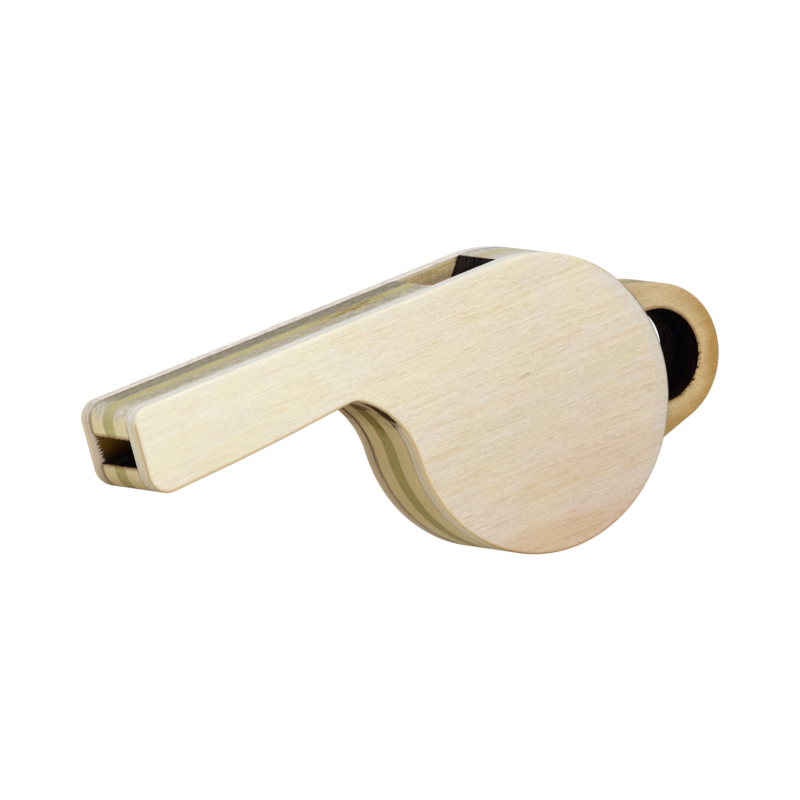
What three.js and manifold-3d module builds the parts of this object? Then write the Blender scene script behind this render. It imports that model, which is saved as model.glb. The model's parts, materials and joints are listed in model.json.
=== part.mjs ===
// A wooden pea whistle, glued up flat from thin plywood and sanded to one outline.
//
// Two side plates of two veneers each close a three-ply core. The core is cut right through, so
// its cut-outs are the whistle's air passages: the windway from the mouth, the window in the top,
// the round chamber with its cork pea, and the eye of the lanyard loop. The window cuts the core
// in two, so the strip above the windway, the roof, is a piece of its own that only the glue holds.
//
// Lengths are in millimetres. The side view is drawn in x and z about the chamber's axis: x runs
// from the mouth to the loop and z from the belly to the top edge. The right side, as the player
// sees it, is at -y. At the end the whistle is set down on its belly and its lower mouth corner.

import * as THREE from "three";
import { mergeVertices } from "three/addons/utils/BufferGeometryUtils.js";
import Module from "manifold-3d";

const wasm = await Module();
wasm.setup();

// Driving dimensions: the outline that the side plates and the core share
const BODY_RADIUS = 13.9; // the round belly, about the chamber's axis
const MOUTH_REACH = 41.6; // from the chamber's axis to the mouth end
const MOUTH_HEIGHT = 8.48; // height of the mouthpiece at its mouth end
const WAIST_HEIGHT = 6.95; // height of the mouthpiece at its waist, where the neck begins
const WAIST_REACH = 18.8; // from the chamber's axis to the waist
const UNDERSIDE_RADIUS = 300; // the mouthpiece's underside is very slightly bowed
const NECK_RADIUS = 8.8; // the hollow that runs from the waist down into the belly
const WAIST_EASE = 1.8; // the rounding of the corner between the underside and that hollow
const UPPER_CORNER_RADIUS = 1.7;
const LOWER_CORNER_RADIUS = 2.2;
const EDGE_EASE = 0.3; // the sanded round on the outer edges of the side plates

// Driving dimensions: the layers, from the right side to the left
const FACE_VENEER = 0.85;
const INNER_VENEER = 0.9;
const RIGHT_PLY = 2.35;
const MIDDLE_PLY = 1.8;
const LEFT_PLY = 2.3;

// Driving dimensions: the air passages in the core
const CHAMBER_WALL = 3;
const ROOF_THICKNESS = 2.87;
const WINDWAY_ENTRY = 2.6; // height of the windway at the mouth
const WINDWAY_EXIT = 1.3; // height of the slit that blows at the lip
const WINDOW_FRONT = 7.1; // the roof and the windway's floor end this far ahead of the axis
const WINDOW_BACK = 0.1; // the ramp meets the top edge this far behind the axis
const RAMP_ANGLE = THREE.MathUtils.degToRad(50.6); // the ramp's slope, down to the sharp lip

// Driving dimensions: the lanyard loop, as thick as the core, and the pea
const LOOP_REACH = 14.26; // from the chamber's axis to the middle of the loop
const LOOP_DROP = 0.48;
const LOOP_RADIUS = 6.72;
const LOOP_WALL = 2.4;
const LOOP_FLARE = THREE.MathUtils.degToRad(16.5); // its straight sides spread this much towards the belly
const LOOP_EASE = 0.2;
const PEA_DIAMETER = 5.4;
const PEA_CLEARANCE = 0.3; // between the pea and the chamber's wall it lies on

// Fineness of the facets
const STEP = THREE.MathUtils.degToRad(4); // turn of one facet on a round
const EASE_SEGMENTS = 4;
const PEA_SEGMENTS = 28;
const OVERRUN = 1; // how far a cutter runs past the wood

// Sizes that follow
const CORE_THICKNESS = RIGHT_PLY + MIDDLE_PLY + LEFT_PLY;
const PLATE_THICKNESS = FACE_VENEER + INNER_VENEER;
const THICKNESS = CORE_THICKNESS + 2 * PLATE_THICKNESS;
const CHAMBER_RADIUS = BODY_RADIUS - CHAMBER_WALL;
const TOP = BODY_RADIUS; // the top edge is tangent to the belly's circle
const CEILING = TOP - ROOF_THICKNESS;
const PEA_RADIUS = PEA_DIAMETER / 2;

// Arcs of the outline, each with its centre, radius and the angles it runs between

/** The point where two circles meet, on the left of the way from the first centre to the second. */
function meetingPoint(a, radiusA, b, radiusB) {
  const between = b.clone().sub(a);
  const distance = between.length();
  const along = (radiusA ** 2 - radiusB ** 2 + distance ** 2) / (2 * distance);
  const aside = Math.sqrt(radiusA ** 2 - along ** 2);
  const unit = between.normalize();
  return new THREE.Vector2(
    a.x + unit.x * along - unit.y * aside,
    a.y + unit.y * along + unit.x * aside,
  );
}

/** The centres of the outline's arcs. Each arc is tangent to its neighbours. */
function outlineCentres() {
  const body = new THREE.Vector2(0, 0);
  const mouthFoot = new THREE.Vector2(-MOUTH_REACH, TOP - MOUTH_HEIGHT);
  const waistFoot = new THREE.Vector2(-WAIST_REACH, TOP - WAIST_HEIGHT);
  const underside = meetingPoint(mouthFoot, UNDERSIDE_RADIUS, waistFoot, UNDERSIDE_RADIUS);
  const neck = meetingPoint(body, BODY_RADIUS + NECK_RADIUS, waistFoot, NECK_RADIUS);
  const waist = meetingPoint(underside, UNDERSIDE_RADIUS + WAIST_EASE, neck, NECK_RADIUS - WAIST_EASE);
  const upperCorner = new THREE.Vector2(-MOUTH_REACH + UPPER_CORNER_RADIUS, TOP - UPPER_CORNER_RADIUS);
  const lowerX = -MOUTH_REACH + LOWER_CORNER_RADIUS;
  const lowerReach = UNDERSIDE_RADIUS - LOWER_CORNER_RADIUS;
  const lowerZ = underside.y - Math.sqrt(lowerReach ** 2 - (lowerX - underside.x) ** 2);
  const lowerCorner = new THREE.Vector2(lowerX, lowerZ);
  const loop = new THREE.Vector2(LOOP_REACH, -LOOP_DROP);
  return { body, underside, waist, neck, upperCorner, lowerCorner, loop };
}

const centres = outlineCentres();
const bearing = (from, to) => to.clone().sub(from).angle();

const facets = (turn) => Math.max(2, Math.ceil(Math.abs(turn) / STEP));

/** Points along an arc from angle start to angle end, which may turn either way. */
function arcPoints(centre, radius, start, end) {
  const count = facets(end - start);
  return Array.from({ length: count + 1 }, (_, i) => {
    const angle = start + ((end - start) * i) / count;
    return new THREE.Vector2(centre.x + radius * Math.cos(angle), centre.y + radius * Math.sin(angle));
  });
}

/** The whistle's side view without its loop, going round with the wood on the left. */
function outline() {
  const { body, underside, waist, neck, upperCorner, lowerCorner } = centres;
  const neckOnBody = bearing(body, neck);
  const waistOnUnderside = bearing(underside, waist);
  const waistOnNeck = bearing(neck, waist);
  const cornerOnUnderside = bearing(underside, lowerCorner);
  return new THREE.Shape([
    ...arcPoints(upperCorner, UPPER_CORNER_RADIUS, Math.PI / 2, Math.PI),
    ...arcPoints(lowerCorner, LOWER_CORNER_RADIUS, Math.PI, cornerOnUnderside),
    ...arcPoints(underside, UNDERSIDE_RADIUS, cornerOnUnderside, waistOnUnderside).slice(1),
    ...arcPoints(waist, WAIST_EASE, waistOnUnderside - Math.PI, waistOnNeck).slice(1),
    ...arcPoints(neck, NECK_RADIUS, waistOnNeck, neckOnBody - Math.PI).slice(1),
    ...arcPoints(body, BODY_RADIUS, neckOnBody, 2.5 * Math.PI).slice(1),
  ]);
}

/** The side view of the loop. Each straight side is carried on into the belly, to abreast of the axis. */
function loopOutline() {
  const { body, loop } = centres;
  const turn = Math.PI / 2 - LOOP_FLARE;
  const foot = (angle) => {
    const outward = new THREE.Vector2(Math.cos(angle), Math.sin(angle));
    const distance = loop.clone().sub(body).dot(outward) + LOOP_RADIUS;
    return outward.multiplyScalar(distance).add(body);
  };
  return new THREE.Shape([foot(-turn), ...arcPoints(loop, LOOP_RADIUS, -turn, turn), foot(turn)]);
}

// Solids

/** A closed three.js geometry as a solid that can be joined and cut. */
function solidOf(geometry) {
  const bare = geometry.clone();
  bare.deleteAttribute("normal");
  bare.deleteAttribute("uv");
  const merged = mergeVertices(bare, 1e-4);
  return new wasm.Manifold(
    new wasm.Mesh({
      numProp: 3,
      vertProperties: merged.getAttribute("position").array,
      triVerts: new Uint32Array(merged.index.array),
    }),
  );
}

/** A solid back as a three.js geometry. */
function geometryOf(solid) {
  const { numProp, numVert, vertProperties, triVerts } = solid.getMesh();
  const positions = new Float32Array(numVert * 3);
  for (let i = 0; i < numVert; i++) {
    positions.set(vertProperties.subarray(i * numProp, i * numProp + 3), i * 3);
  }
  const geometry = new THREE.BufferGeometry();
  geometry.setAttribute("position", new THREE.BufferAttribute(positions, 3));
  geometry.setIndex(new THREE.BufferAttribute(new Uint32Array(triVerts), 1));
  geometry.computeVertexNormals();
  return geometry;
}

/** A side-view shape carried across the whistle, from y = low to y = high. */
function across(shape, low, high, ease = 0) {
  const geometry = new THREE.ExtrudeGeometry(shape, {
    depth: high - low - 2 * ease,
    steps: 1,
    bevelEnabled: ease > 0,
    bevelThickness: ease,
    bevelSize: ease,
    bevelOffset: -ease,
    bevelSegments: EASE_SEGMENTS,
  });
  geometry.rotateX(Math.PI / 2);
  geometry.translate(0, high - ease, 0);
  return solidOf(geometry);
}

const polygon = (points) => new THREE.Shape(points.map(([x, z]) => new THREE.Vector2(x, z)));

/** A block that keeps only the layer of wood from y = low to y = high. */
function layer(low, high) {
  const size = 4 * MOUTH_REACH;
  const geometry = new THREE.BoxGeometry(size, high - low, size);
  geometry.translate(0, (low + high) / 2, 0);
  return solidOf(geometry);
}

/** A round rod across the whistle, longer than the whistle is thick. */
function rodAcross(centre, radius) {
  const geometry = new THREE.CylinderGeometry(radius, radius, 2 * THICKNESS, facets(2 * Math.PI));
  geometry.translate(centre.x, 0, centre.y);
  return solidOf(geometry);
}

/** The lanyard loop: its outer edges are sanded round and its eye is left sharp. */
function loopSolid() {
  const washer = across(loopOutline(), -CORE_THICKNESS / 2, CORE_THICKNESS / 2, LOOP_EASE);
  return washer.subtract(rodAcross(centres.loop, LOOP_RADIUS - LOOP_WALL));
}

/** All that is open or roof above the windway's floor, back to the ramp behind the window. */
function notchCutter() {
  const rampHeight = (x) => TOP + (x - WINDOW_BACK) * Math.tan(RAMP_ANGLE);
  const rampTop = WINDOW_BACK + OVERRUN / Math.tan(RAMP_ANGLE);
  const outside = -MOUTH_REACH - OVERRUN;
  const floorRise = (WINDWAY_ENTRY - WINDWAY_EXIT) / (MOUTH_REACH - WINDOW_FRONT);
  const shape = polygon([
    [outside, CEILING - WINDWAY_ENTRY - floorRise * OVERRUN],
    [-WINDOW_FRONT, CEILING - WINDWAY_EXIT],
    [-WINDOW_FRONT, rampHeight(-WINDOW_FRONT)],
    [rampTop, TOP + OVERRUN],
    [outside, TOP + OVERRUN],
  ]);
  return across(shape, -THICKNESS, THICKNESS);
}

/** The strip above the windway, from past the mouth to the window. */
function roofBlock() {
  const outside = -MOUTH_REACH - OVERRUN;
  const shape = polygon([
    [outside, CEILING],
    [-WINDOW_FRONT, CEILING],
    [-WINDOW_FRONT, TOP + OVERRUN],
    [outside, TOP + OVERRUN],
  ]);
  return across(shape, -THICKNESS, THICKNESS);
}

// The glued and sanded block, and what is cut out of its core
const block = across(outline(), -THICKNESS / 2, THICKNESS / 2, EDGE_EASE);
const core = block
  .intersect(layer(-CORE_THICKNESS / 2, CORE_THICKNESS / 2))
  .add(loopSolid())
  .subtract(rodAcross(centres.body, CHAMBER_RADIUS))
  .subtract(notchCutter());
const roof = block.intersect(roofBlock());

// Finishes
const wood = (color, roughness) => new THREE.MeshStandardMaterial({ color, roughness, metalness: 0 });
const faceMaple = wood(0xe9dcc0, 0.55);
const innerMaple = wood(0xcfc4b4, 0.6);
const coreMaple = wood(0xc3ae80, 0.6);
const greenMaple = wood(0xa3a162, 0.6);
const cork = wood(0xa9794c, 0.9);

const whistle = new THREE.Group();

function place(name, solid, material, parent) {
  const mesh = new THREE.Mesh(geometryOf(solid), material);
  mesh.name = name;
  parent.add(mesh);
}

// The layers, cut from the block in their order from right to left
const stack = [
  ["right_face_veneer", FACE_VENEER, faceMaple, [["", block]]],
  ["right_inner_veneer", INNER_VENEER, innerMaple, [["", block]]],
  ["right_ply", RIGHT_PLY, coreMaple, [["core_", core], ["roof_", roof]]],
  ["middle_ply", MIDDLE_PLY, greenMaple, [["core_", core], ["roof_", roof]]],
  ["left_ply", LEFT_PLY, coreMaple, [["core_", core], ["roof_", roof]]],
  ["left_inner_veneer", INNER_VENEER, innerMaple, [["", block]]],
  ["left_face_veneer", FACE_VENEER, faceMaple, [["", block]]],
];
let side = -THICKNESS / 2;
for (const [name, thickness, material, sources] of stack) {
  for (const [prefix, source] of sources) {
    place(prefix + name, source.intersect(layer(side, side + thickness)), material, whistle);
  }
  side += thickness;
}

/** The slope at which the belly and the lower mouth corner both touch a table. */
function restingTilt() {
  const { body, lowerCorner } = centres;
  const distance = lowerCorner.distanceTo(body);
  const levelling = Math.asin((lowerCorner.y - body.y) / distance);
  const lowering = Math.asin((BODY_RADIUS - LOWER_CORNER_RADIUS) / distance);
  return levelling + lowering;
}

whistle.rotation.y = -restingTilt();

const root = new THREE.Group();
root.add(whistle);

// The pea lies loose at the lowest point of the chamber
const peaBall = new THREE.SphereGeometry(PEA_RADIUS, PEA_SEGMENTS, PEA_SEGMENTS / 2);
peaBall.translate(0, 0, -(CHAMBER_RADIUS - PEA_CLEARANCE - PEA_RADIUS));
place("pea", solidOf(peaBall), cork, root);

// The origin is on the table, under the middle of the whistle
root.updateMatrixWorld(true);
const extent = new THREE.Box3().setFromObject(root, true);
const middle = extent.getCenter(new THREE.Vector3());
root.position.set(-middle.x, 0, -extent.min.z);

export default root;
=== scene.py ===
# %% [markdown]
# # A wooden pea whistle
# The whistle is a sandwich of thin plywood: two side plates, each of two veneers, glued to a
# core of three plies. A laser cut the air passages right through the core, and the glued block
# was then sanded to one outline. The CAD model, loaded first, says where every layer lies. The
# steps below rebuild each layer with soft edges and give it its own wood.

import json
from functools import partial
from math import asin, atan2, ceil, copysign, cos, degrees, pi, radians, sin, sqrt, tan

import bpy
import numpy as np
from mathutils import Matrix, Vector
from mathutils.geometry import tessellate_polygon


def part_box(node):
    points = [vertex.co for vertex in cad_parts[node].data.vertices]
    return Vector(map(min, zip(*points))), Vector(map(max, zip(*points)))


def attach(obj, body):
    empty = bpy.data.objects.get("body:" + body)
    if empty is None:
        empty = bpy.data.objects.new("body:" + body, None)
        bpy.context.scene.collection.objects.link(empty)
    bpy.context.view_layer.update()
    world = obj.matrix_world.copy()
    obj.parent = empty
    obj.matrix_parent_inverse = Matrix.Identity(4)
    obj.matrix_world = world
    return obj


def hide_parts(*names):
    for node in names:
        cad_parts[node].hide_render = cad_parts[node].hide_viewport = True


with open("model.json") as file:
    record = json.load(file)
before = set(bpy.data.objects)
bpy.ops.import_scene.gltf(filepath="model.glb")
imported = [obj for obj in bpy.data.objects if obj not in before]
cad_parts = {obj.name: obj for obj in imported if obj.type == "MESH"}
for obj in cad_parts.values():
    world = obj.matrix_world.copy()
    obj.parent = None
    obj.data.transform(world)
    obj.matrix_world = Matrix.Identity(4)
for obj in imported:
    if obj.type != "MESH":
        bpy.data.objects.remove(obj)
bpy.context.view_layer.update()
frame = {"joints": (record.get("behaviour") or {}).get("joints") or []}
stage = bpy.context.scene

# %% [markdown]
# ## Sizes
# The layers are cut through and through, so every shape here is a drawing of the side view,
# carried across. The drawing is in millimetres about the chamber's axis: x runs from the mouth
# towards the loop and z up to the top edge. The radius of the belly, the place of the axis and
# the layers' sides come from the frame. The rest are the driving sizes of the CAD model.

# %% Sizes of the side view, in millimetres
MM = 0.001

axis_point = np.array(frame["joints"][0]["pos_m"]) / MM
BODY_RADIUS = axis_point[2]  # the belly stands on the table
TOP = BODY_RADIUS
MOUTH = -41.6  # where the mouth end lies
MOUTH_HEIGHT = 8.48
WAIST_HEIGHT = 6.95
WAIST_REACH = 18.8
UNDERSIDE_RADIUS = 300.0
NECK_RADIUS = 8.8
WAIST_EASE = 1.8
UPPER_CORNER_RADIUS = 1.7
LOWER_CORNER_RADIUS = 2.2

CHAMBER_WALL = 3.0
CHAMBER_RADIUS = BODY_RADIUS - CHAMBER_WALL
ROOF_THICKNESS = 2.87
CEILING = TOP - ROOF_THICKNESS
WINDWAY_ENTRY = 2.6
WINDWAY_EXIT = 1.3
WINDOW_FRONT = 7.1
WINDOW_BACK = 0.1
RAMP_ANGLE = radians(50.6)

LOOP_CENTRE = np.array([14.26, -0.48])
LOOP_RADIUS = 6.72
LOOP_WALL = 2.4
EYE_RADIUS = LOOP_RADIUS - LOOP_WALL
LOOP_FLARE = radians(16.5)  # slope of the loop's straight sides

PLATE_EASE = 0.3  # the sanded round on the plates' outer edges
LOOP_EASE = 0.2
SHARP_EASE = 0.02  # even a crisp edge of wood is a little soft
BROAD_EASE = 0.1  # a round wider than this has a look of its own
ARC_STEP = radians(1.5)

FACE_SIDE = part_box("left_face_veneer")[1][1] / MM
CORE_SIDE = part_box("core_left_ply")[1][1] / MM
print("belly radius", round(BODY_RADIUS, 3), "half thickness", round(FACE_SIDE, 3))

# %% [markdown]
# ## The outline
# The outline is straight lines and arcs that run smoothly into each other. Where two arcs
# touch, the middle of the one lies on a circle about the middle of the other, with a radius
# that is the sum or the difference of theirs. So every middle that isn't given is a meeting of
# two circles. The loop has straight sides that touch its circle and spread towards the belly.

# %% The middles of the arcs
BODY = np.zeros(2)
FULL_TURN = 2 * pi


def meeting_point(a, radius_a, b, radius_b):
    """Where two circles meet, left of the way from a to b.

    With d the distance between a and b, the point lies (ra^2 - rb^2 + d^2) / 2d along the way
    and, by Pythagoras, sqrt(ra^2 - along^2) beside it.
    """
    between = b - a
    distance = np.hypot(*between)
    along = (radius_a**2 - radius_b**2 + distance**2) / (2 * distance)
    aside = sqrt(radius_a**2 - along**2)
    forward = between / distance
    sideways = np.array([-forward[1], forward[0]])
    return a + along * forward + aside * sideways


def bearing(origin, target):
    """The angle of the way from origin to target, from 0 up to a full turn."""
    return atan2(target[1] - origin[1], target[0] - origin[0]) % FULL_TURN


mouth_foot = np.array([MOUTH, TOP - MOUTH_HEIGHT])
waist_foot = np.array([-WAIST_REACH, TOP - WAIST_HEIGHT])
UNDERSIDE = meeting_point(mouth_foot, UNDERSIDE_RADIUS, waist_foot, UNDERSIDE_RADIUS)
NECK = meeting_point(BODY, BODY_RADIUS + NECK_RADIUS, waist_foot, NECK_RADIUS)
WAIST = meeting_point(UNDERSIDE, UNDERSIDE_RADIUS + WAIST_EASE, NECK, NECK_RADIUS - WAIST_EASE)
UPPER_CORNER = np.array([MOUTH + UPPER_CORNER_RADIUS, TOP - UPPER_CORNER_RADIUS])
lower_x = MOUTH + LOWER_CORNER_RADIUS
lower_reach = UNDERSIDE_RADIUS - LOWER_CORNER_RADIUS
LOWER_CORNER = np.array(
    [lower_x, UNDERSIDE[1] - sqrt(lower_reach**2 - (lower_x - UNDERSIDE[0]) ** 2)]
)


def loop_foot(angle):
    """Where the line that touches the loop's circle at this angle meets the belly's circle.

    The line lies c . n + r from the belly's middle, with n the direction (cos, sin) of the
    angle, c the loop's middle and r its radius. Along it the belly's circle is reached
    sqrt(R^2 - that^2) away, on the loop's side.
    """
    outward = np.array([cos(angle), sin(angle)])
    off = LOOP_CENTRE @ outward + LOOP_RADIUS
    along = np.array([outward[1], -outward[0]]) * copysign(1, angle)
    return off * outward + sqrt(BODY_RADIUS**2 - off**2) * along


LOOP_TURN = pi / 2 - LOOP_FLARE
loop_low, loop_high = loop_foot(-LOOP_TURN), loop_foot(LOOP_TURN)
print("neck", NECK.round(2), "lower corner", LOWER_CORNER.round(2))
print("loop from", loop_low.round(2), "to", loop_high.round(2))

# %% [markdown]
# ## From the drawing to the table
# The whistle stands on its belly and on its lower mouth corner, so the drawing is turned by the
# slope at which both touch the table. The same turn carries the patterns of the wood.

# %% The slope of the whistle at rest
corner_distance = np.hypot(*LOWER_CORNER)
TILT = asin(LOWER_CORNER[1] / corner_distance) + asin(
    (BODY_RADIUS - LOWER_CORNER_RADIUS) / corner_distance
)


def turned(x, z):
    """The drawing's x and z, turned by TILT: (x cos - z sin, x sin + z cos)."""
    cosine, sine = cos(TILT), sin(TILT)
    return x * cosine - z * sine, x * sine + z * cosine


def to_table(x, y, z):
    """Drawing in millimetres to metres in the frame: turn by TILT, then shift to the axis."""
    across, up = turned(x, z)
    place = np.broadcast_arrays(across + axis_point[0], y, up + axis_point[2])
    return np.stack(place, axis=-1) * MM


print("slope", round(degrees(TILT), 2), "degrees")

# %% [markdown]
# ## Stretches of an edge
# Each layer's edge is a closed row of stretches. A stretch has its points, the way it was
# finished, sanded or cut by the laser, and the round on its two corners. The wood always lies
# to the left of the way round, so a hole is drawn the other way round.

# %% Arcs, lines and closed edges
SANDED, CUT, FACE, RIM = 0, 1, 2, 3


def arc(centre, radius, start, end):
    """Points at centre + radius (cos a, sin a), for a from start to end in small steps."""
    count = max(2, ceil(abs(end - start) / ARC_STEP))
    angles = np.linspace(start, end, count + 1)
    return centre + radius * np.column_stack([np.cos(angles), np.sin(angles)])


def closed_edge(*stretches):
    """Joins (points, finish, ease) end to end, without each last point, which is the next first."""
    points = np.concatenate([p[:-1] for p, _, _ in stretches])
    finish = np.concatenate([np.full(len(p) - 1, f) for p, f, _ in stretches])
    ease = np.concatenate([np.full(len(p) - 1, e) for p, _, e in stretches])
    return points, finish, ease


def outline_bottom(start_height):
    """The outline from the mouth end at start_height, under the mouthpiece, to the neck's end."""
    corner_turn, waist_turn = bearing(UNDERSIDE, LOWER_CORNER), bearing(UNDERSIDE, WAIST)
    neck_turn, neck_end = bearing(NECK, WAIST), bearing(BODY, NECK) - pi
    start = np.array([[MOUTH, start_height]])
    corner = arc(LOWER_CORNER, LOWER_CORNER_RADIUS, pi, corner_turn)
    under = arc(UNDERSIDE, UNDERSIDE_RADIUS, corner_turn, waist_turn)
    waist = arc(WAIST, WAIST_EASE, waist_turn - pi, neck_turn)
    neck = arc(NECK, NECK_RADIUS, neck_turn, neck_end)
    return np.concatenate([start, corner, under[1:], waist[1:], neck[1:]])


def outline_top(end_height):
    """The outline from above the belly, along the top edge, to the mouth end at end_height."""
    corner = arc(UPPER_CORNER, UPPER_CORNER_RADIUS, pi / 2, pi)
    end = np.array([[MOUTH, end_height]])
    return np.concatenate([corner, end])


# %% [markdown]
# ## The side view of each layer
# A side plate has the whole outline. A core ply has the passages cut out of it, so its edge
# runs in at the mouth, round the chamber, and out again over the sharp lip. The roof ply is the
# strip that the windway and the window cut off.

# %% The plate's edge
neck_end = bearing(BODY, NECK)
plate_bottom = outline_bottom(UPPER_CORNER[1])
plate_back = arc(BODY, BODY_RADIUS, neck_end, FULL_TURN + pi / 2)
plate_top = outline_top(UPPER_CORNER[1])[:-1]
plate_outline = np.concatenate([plate_bottom[:-1], plate_back, plate_top])
plate_edge = closed_edge((plate_outline, SANDED, PLATE_EASE))
print("points on the plate's edge:", len(plate_edge[0]))

# %% The core ply's edge and the eye of its loop
FLOOR_AT_MOUTH = CEILING - WINDWAY_ENTRY
FLOOR_AT_WINDOW = CEILING - WINDWAY_EXIT
slope = tan(RAMP_ANGLE)
ramp_foot = TOP - slope * WINDOW_BACK  # height of the ramp's line over the axis
half_way = -slope * ramp_foot / (1 + slope**2)
lip_x = half_way + sqrt(half_way**2 - (ramp_foot**2 - CHAMBER_RADIUS**2) / (1 + slope**2))
LIP = np.array([lip_x, ramp_foot + slope * lip_x])
floor_end = np.array([-WINDOW_FRONT, sqrt(CHAMBER_RADIUS**2 - WINDOW_FRONT**2)])
ramp_top = np.array([WINDOW_BACK, sqrt(BODY_RADIUS**2 - WINDOW_BACK**2)])
belly = arc(BODY, BODY_RADIUS, neck_end, bearing(BODY, loop_low))
loop_arc = arc(LOOP_CENTRE, LOOP_RADIUS, -LOOP_TURN, LOOP_TURN)
crown = arc(BODY, BODY_RADIUS, bearing(BODY, loop_high), bearing(BODY, ramp_top))
chamber = arc(BODY, CHAMBER_RADIUS, bearing(BODY, LIP), bearing(BODY, floor_end) - FULL_TURN)
windway_floor = [floor_end, [-WINDOW_FRONT, FLOOR_AT_WINDOW], [MOUTH, FLOOR_AT_MOUTH]]
core_edge = closed_edge(
    (outline_bottom(FLOOR_AT_MOUTH), SANDED, SHARP_EASE),
    (belly, SANDED, SHARP_EASE),
    (np.concatenate([[loop_low], loop_arc, [loop_high]]), SANDED, LOOP_EASE),
    (crown, SANDED, SHARP_EASE),
    (np.array([ramp_top, LIP]), CUT, SHARP_EASE),
    (chamber, CUT, SHARP_EASE),
    (np.array(windway_floor), CUT, SHARP_EASE),
)
eye_top = meeting_point(BODY, BODY_RADIUS, LOOP_CENTRE, EYE_RADIUS)
eye_bottom = meeting_point(LOOP_CENTRE, EYE_RADIUS, BODY, BODY_RADIUS)
eye_turns = [bearing(LOOP_CENTRE, eye_top), bearing(LOOP_CENTRE, eye_bottom) - FULL_TURN]
back_turns = [bearing(BODY, eye_bottom) - FULL_TURN, bearing(BODY, eye_top)]
eye_edge = closed_edge(
    (arc(LOOP_CENTRE, EYE_RADIUS, *eye_turns), CUT, SHARP_EASE),
    (arc(BODY, BODY_RADIUS, *back_turns), CUT, SHARP_EASE),
)
print("lip at", LIP.round(2), "eye corners", eye_top.round(2), eye_bottom.round(2))

# %% The roof ply's edge
window_corner = [-WINDOW_FRONT, TOP]
roof_below = [[MOUTH, CEILING], [-WINDOW_FRONT, CEILING], window_corner]
roof_edge = closed_edge(
    (np.array(roof_below), CUT, SHARP_EASE),
    (np.concatenate([[window_corner], outline_top(CEILING)]), SANDED, SHARP_EASE),
)
print("points on the roof's edge:", len(roof_edge[0]))

# %% [markdown]
# ## A layer of wood
# A layer is its edge carried across the whistle, closed by a face on each side. Its corners are
# quarter rounds, so they catch the light as sanded wood does. Just inside each corner runs one
# more ring of points that is still flat: without it, smooth shading would bend the light over
# the whole face.

# %% Rings of a layer
CORNER_STEPS = 4
FLAT_RING = 0.05
LEAST_STRETCH = 0.35  # keeps sharp corners from being drawn out too far


def corner_normals(points):
    """Outward directions at the points: the mean of the two sides' normals, stretched at corners.

    A side (dx, dz) has the outward normal (dz, -dx) / length. Moving a corner along n1 + n2,
    divided by 1 + n1.n2, moves both of its sides by the same distance.
    """
    sides = np.roll(points, -1, axis=0) - points
    normals = np.column_stack([sides[:, 1], -sides[:, 0]])
    normals /= np.linalg.norm(normals, axis=1, keepdims=True)
    before = np.roll(normals, 1, axis=0)
    stretch = np.maximum(1 + np.sum(normals * before, axis=1), LEAST_STRETCH)
    return (normals + before) / stretch[:, None]


def rings(edge, low, high, round_low, round_high):
    """A grid of points: one column for each point of the edge, one row for each ring.

    On a corner, a quarter turn a from the face to the edge sets the ring in by
    ease (1 - sin a) and off the face by ease (1 - cos a).
    """
    points, _, ease = edge
    normals = corner_normals(points)
    turns = np.linspace(0, pi / 2, CORNER_STEPS + 1)
    rows = []
    for side, inward, rounded in ((low, 1, round_low), (high, -1, round_high)):
        radius = ease if rounded else np.full_like(ease, SHARP_EASE)
        inset = radius * (1 - np.sin(turns))[:, None]
        height = side + inward * radius * (1 - np.cos(turns))[:, None]
        inset = np.concatenate([inset[:1] + FLAT_RING, inset])
        height = np.concatenate([height[:1], height])
        rows.append((inset[::inward], height[::inward]))
    inset, height = (np.concatenate(part) for part in zip(*rows))
    flat = points[None] - inset[..., None] * normals[None]
    return flat[..., 0], height, flat[..., 1]


# %% The layer's mesh
SHARP_ANGLE = radians(35)


def new_object(name, data):
    """An object of this data, put into the scene."""
    made = bpy.data.objects.new(name, data)
    stage.collection.objects.link(made)
    return made


def new_piece(name, vertices, *faces):
    """A mesh object of vertices and arrays of faces, put into the scene."""
    mesh = bpy.data.meshes.new(name)
    corners = [face for group in faces for face in group.tolist()]
    mesh.from_pydata(vertices.tolist(), [], corners)
    return new_object(name, mesh)


def grid_faces(rows, columns):
    """The faces of a grid that closes round its rows, each as its four corners' numbers."""
    row, column = np.meshgrid(np.arange(rows - 1), np.arange(columns), indexing="ij")
    ahead = (column + 1) % columns
    here, there = row * columns, (row + 1) * columns
    corners = [here + column, there + column, there + ahead, here + ahead]
    return np.stack(corners, axis=-1).reshape(-1, 4)


def face_triangles(loops, clockwise):
    """Fills the loops, an edge and then its holes, with triangles that all wind one way."""
    flat = np.concatenate(loops)
    vectors = [[Vector((x, z, 0)) for x, z in loop] for loop in loops]
    triangles = np.array(tessellate_polygon(vectors))
    a, b, c = (flat[triangles[:, k]] for k in range(3))
    area = np.cross(b - a, c - a)
    turned_over = (area < 0) != clockwise
    triangles[turned_over] = triangles[turned_over][:, ::-1]
    return triangles


def ring_finish(edge, row_count, round_low, round_high):
    """Each band's finish: the stretch's own, but RIM on the broad rounds beside a face."""
    _, finish, ease = edge
    row, middle = np.arange(row_count - 1)[:, None], row_count // 2 - 1
    on_round = ((row < middle) & round_low) | ((row > middle) & round_high)
    return np.where(on_round & (ease > BROAD_EASE), RIM, finish).ravel()


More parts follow.
